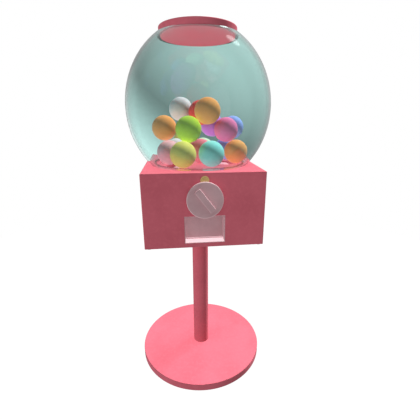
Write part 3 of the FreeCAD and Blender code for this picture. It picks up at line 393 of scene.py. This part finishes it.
# Gears and coin wheel: cut from natural nylon, which runs without oil.
# Creamy and a little cloudy, with a soft sheen on the teeth.
NYLON = (0.58, 0.55, 0.48)
NYLON_PALE = (0.66, 0.64, 0.58)
NYLON_SHEEN = 0.42
NYLON_GRAIN = 0.00002
nylon = Finish(bpy.data.materials.new("natural_nylon"))
milk = nylon.noise(scale=70).rise(0.3, 0.7)
nylon.skin(
    Base_Color=nylon.blend(milk, NYLON, NYLON_PALE),
    Roughness=NYLON_SHEEN + milk * 0.1,
    Normal=nylon.bump(nylon.noise(scale=1000, detail=2), NYLON_GRAIN),
)
nylon.dress("crown_gear", "drive_pinion", "coin_wheel")

# Globe: blown glass with a mint tint, standing by its neck in a groove of the seat ring.
# Its wall wavers faintly and carries a few smears; light and shade pass straight through it
# to the gumballs.
MINT = (0.725, 0.930, 0.900)
MINT_PALE = (0.740, 0.940, 0.912)
MINT_LIGHT = (0.880, 0.970, 0.955)
SMEAR_DULLNESS = 0.035
WAVER_DEPTH = 0.0003
glass = Finish(bpy.data.materials.new("mint_glass"))
smear = glass.noise(scale=60, detail=4, rough=0.65).rise(0.55, 0.8)
melt = glass.noise(scale=16, detail=2).rise(0.3, 0.7)
glass.skin(
    Base_Color=glass.blend(melt, MINT, MINT_PALE),
    Roughness=smear * SMEAR_DULLNESS,
    IOR=1.40,
    Transmission_Weight=1.0,
    Normal=glass.bump(glass.noise(scale=9, detail=1), WAVER_DEPTH),
)
shadow = glass.node("ShaderNodeLightPath", {}, {}, "Is Shadow Ray")
lets_through = shadow.at_least(shadow.sibling("Is Diffuse Ray"))
wall = Wire(glass, glass.tree.nodes["Principled BSDF"].outputs["BSDF"])
tint = glass.node("ShaderNodeBsdfTransparent", {}, {"Color": MINT_LIGHT})
glass.feed(
    glass.tree.nodes["Material Output"].inputs["Surface"],
    glass.node("ShaderNodeMixShader", {}, {0: lets_through, 1: wall, 2: tint}),
)
glass.dress("globe")

# Lid: a spun cap over the globe's mouth, with a flat disc under it that keeps it in place.
# The cap is powder coated and rubbed along its upper and lower edge, where it is lifted;
# the disc is moulded in a deeper pink, which shows through the glass.
DISC_PINK = (0.690, 0.066, 0.108)
DISC_PINK_DEEP = (0.650, 0.060, 0.100)
LID_SIDE_WEAR = (0.0025, 0.0002)
LID_TOP_WEAR = (0.0025, 0.0005)
LID_FOOT_WEAR = 0.001
lid_low, lid_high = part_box("lid_cap")


def lid_edges(coat):
    up = coat.along("Z")
    edge = up.nearing(lid_high.z, LID_TOP_WEAR) + 1 - up.rise(lid_low.z, lid_low.z + LID_FOOT_WEAR)
    return coat.outwards().nearing(lid_high.x, LID_SIDE_WEAR) * edge


powder_coat("lid_powder_coat", lid_edges).dress("lid_cap")
streaked_moulding("lid_disc_moulding", DISC_PINK, DISC_PINK_DEEP).dress("lid_plug")

# Gumballs: sugar shells built up in a turning pan and polished with a little wax, each batch in its
# own colour. The shell is slightly cloudy, with tiny pits, and paler freckles where the sugar shows.
CANDY = {
    "yellow": (0.660, 0.530, 0.130), "cyan": (0.230, 0.570, 0.550), "pink": (0.680, 0.360, 0.420),
    "orange": (0.740, 0.285, 0.085), "rose": (0.640, 0.160, 0.210), "white": (0.580, 0.530, 0.560),
    "mint": (0.540, 0.700, 0.440), "blue": (0.260, 0.320, 0.700), "green": (0.390, 0.540, 0.050),
    "magenta": (0.690, 0.150, 0.330), "purple": (0.480, 0.170, 0.620), "red": (0.740, 0.045, 0.040),
}
LOADED_BATCH = "pink"
DEEPENED = 0.9
COLOUR_LEFT = 0.7
SUGAR_WHITE = 0.28
FRECKLE_SHARE = 0.35
WAXED = 0.40
PIT_DEPTH = 0.0001


def sugar_shell(colour, tone):
    """The shell of one batch, given the colour's name and its tone."""
    candy = Finish(bpy.data.materials.new(f"{colour}_candy"))
    cloud = candy.noise(scale=70, detail=4, rough=0.6).rise(0.32, 0.72)
    freckle = candy.noise(scale=900, detail=2, rough=0.5).rise(0.66, 0.74)
    deep = [DEEPENED * part for part in tone]
    sugary = [COLOUR_LEFT * part + SUGAR_WHITE for part in tone]
    candy.skin(
        Base_Color=candy.blend(freckle * FRECKLE_SHARE, candy.blend(cloud, deep, tone), sugary),
        Roughness=WAXED + cloud * 0.1,
        Specular_IOR_Level=0.3,
        Coat_Weight=0.05,
        Normal=candy.bump(candy.noise(scale=340, rough=0.6), PIT_DEPTH),
    )
    return candy


for colour, tone in CANDY.items():
    batch = sugar_shell(colour, tone)
    batch.dress(f"gumballs_{colour}")
    if colour == LOADED_BATCH:
        batch.dress("gumballs_in_wheel")

# Studio floor: a round sheet of white paper under the feet, whose edge is lost in the white room.
# It glows evenly, so that it stays white without throwing light back up at the machine.
FLOOR_RADIUS = 1.25
FLOOR_SIDES = 96
FLOOR_DROP = 0.0002
PAPER_SHADE = (0.018, 0.018, 0.018)
PAPER_GRAIN = (0.024, 0.024, 0.024)
WHITE = (1.0, 1.0, 1.0)
bpy.ops.mesh.primitive_circle_add(
    vertices=FLOOR_SIDES, radius=FLOOR_RADIUS, fill_type="NGON", location=(0, 0, -FLOOR_DROP)
)
floor = bpy.context.object
floor.name = "studio_floor"
floor.visible_diffuse = False
floor.visible_glossy = False
floor.visible_transmission = False
paper = Finish(bpy.data.materials.new("white_paper"))
paper.skin(
    Base_Color=paper.blend(paper.noise(scale=300), PAPER_SHADE, PAPER_GRAIN),
    Roughness=1.0,
    Specular_IOR_Level=0.0,
    Emission_Color=WHITE,
    Emission_Strength=1.0,
)
floor.data.materials.append(paper.owner)

# Studio lights: a high key from behind on the right and a fill from below on the left, in front.
# Their directions were fitted to the shading in the photograph. It has no cast shadows, so only a
# small share of the key casts any, and less still glints.
KEY_TOWARDS = (-0.510, -0.355, -0.783)
FILL_TOWARDS = (0.489, 0.255, 0.834)


def far_light(name, towards, strength, spread, shadows=False, sparkle=False):
    """A light so far away that its rays run side by side; its spread is in degrees."""
    lamp = bpy.data.lights.new(name, "SUN")
    lamp.energy = strength
    lamp.angle = math.radians(spread)
    lamp.use_shadow = shadows
    holder = bpy.data.objects.new(name, lamp)
    holder.visible_glossy = sparkle
    holder.visible_transmission = sparkle
    x, y, z = towards
    holder.rotation_euler = (math.atan2(math.hypot(x, y), -z), 0, math.atan2(-x, y))
    bpy.context.scene.collection.objects.link(holder)


far_light("key_light", KEY_TOWARDS, strength=6.6, spread=3)
far_light("key_light_shading", KEY_TOWARDS, strength=0.8, spread=9, shadows=True)
far_light("key_light_sparkle", KEY_TOWARDS, strength=0.06, spread=12, shadows=True, sparkle=True)
far_light("fill_light", FILL_TOWARDS, strength=2.4, spread=3)

# Studio room: white behind the machine, and pale grey all round for what the surfaces catch.
# Through the globe it shows as a round alcove, lit from the upper right and more strongly from the
# lower left, as fitted to the photograph. Its turn, climb and reach are in degrees.
ROOM_GREY = 0.50
ALCOVE_GREY = 0.165
ALCOVE_TURN = 2.76
ALCOVE_CLIMB = -0.155
ALCOVE_REACH = 13.55
ALCOVE_FADE = (2.0, 5.0)
UPPER_RIGHT_GLOW = (0.286, 0.454, 0.120)
LOWER_LEFT_GLOW = (-0.639, -0.918, -0.100)
room = Finish(bpy.data.worlds.new("studio_room"))
bpy.context.scene.world = room.owner
seen = room.node("ShaderNodeLightPath", {}, {}, "Is Camera Ray")
through_glass = seen.sibling("Is Transmission Ray")
looking = room.node("ShaderNodeTexCoord", {}, {}, "Generated")
right = room.node("ShaderNodeSeparateXYZ", {}, {0: looking}, "X")
turn = right.maths("ARCTAN2", right, right.sibling("Y")) * math.degrees(1)
climb = right.maths("ARCSINE", right.sibling("Z"), 0.0) * math.degrees(1)
across = (turn - ALCOVE_TURN) * (1 / ALCOVE_REACH)
above = (climb - ALCOVE_CLIMB) * (1 / ALCOVE_REACH)
from_middle = across.beside(above)
outside = from_middle.at_least(1.0)
depth = from_middle.maths("SQRT", 1 - from_middle * from_middle, 0.0)


def alcove_glow(glow):
    """How brightly a glow lights the alcove's wall, given its shares to the right, upwards and back."""
    to_right, to_top, to_back = glow
    facing = (across * to_right + above * to_top) / outside + depth * to_back
    return facing.at_least(0.0)


alcove = ALCOVE_GREY + alcove_glow(UPPER_RIGHT_GLOW) + alcove_glow(LOWER_LEFT_GLOW)
in_alcove = through_glass * (1 - from_middle.rise(*ALCOVE_FADE))
grey = ROOM_GREY + in_alcove * (alcove - ROOM_GREY)
pale_room = room.node("ShaderNodeBackground", {}, {"Color": grey})
white_room = room.node("ShaderNodeBackground", {}, {"Color": WHITE})
room.feed(
    room.tree.nodes["World Output"].inputs["Surface"],
    room.node("ShaderNodeMixShader", {}, {0: seen, 1: pale_room, 2: white_room}),
)
bpy.context.scene.view_settings.view_transform = "Standard"

# Camera: close in front and a little to the left, about as high as the globe's middle, looking down.
# Its place, aim and lens were worked out from the machine's edges in the photograph.
CAMERA_PLACE = (-0.0523, -0.6550, 0.5876)
CAMERA_TILT = 72.34
CAMERA_TURN = -6.65
SENSOR_WIDTH = 36
LENS_LENGTH = 25.24
lens = bpy.data.cameras.new("camera")
lens.sensor_width = SENSOR_WIDTH
lens.lens = LENS_LENGTH
camera = bpy.data.objects.new("camera", lens)
camera.location = CAMERA_PLACE
camera.rotation_euler = (math.radians(CAMERA_TILT), 0, math.radians(CAMERA_TURN))
bpy.context.scene.collection.objects.link(camera)
bpy.context.scene.camera = camera
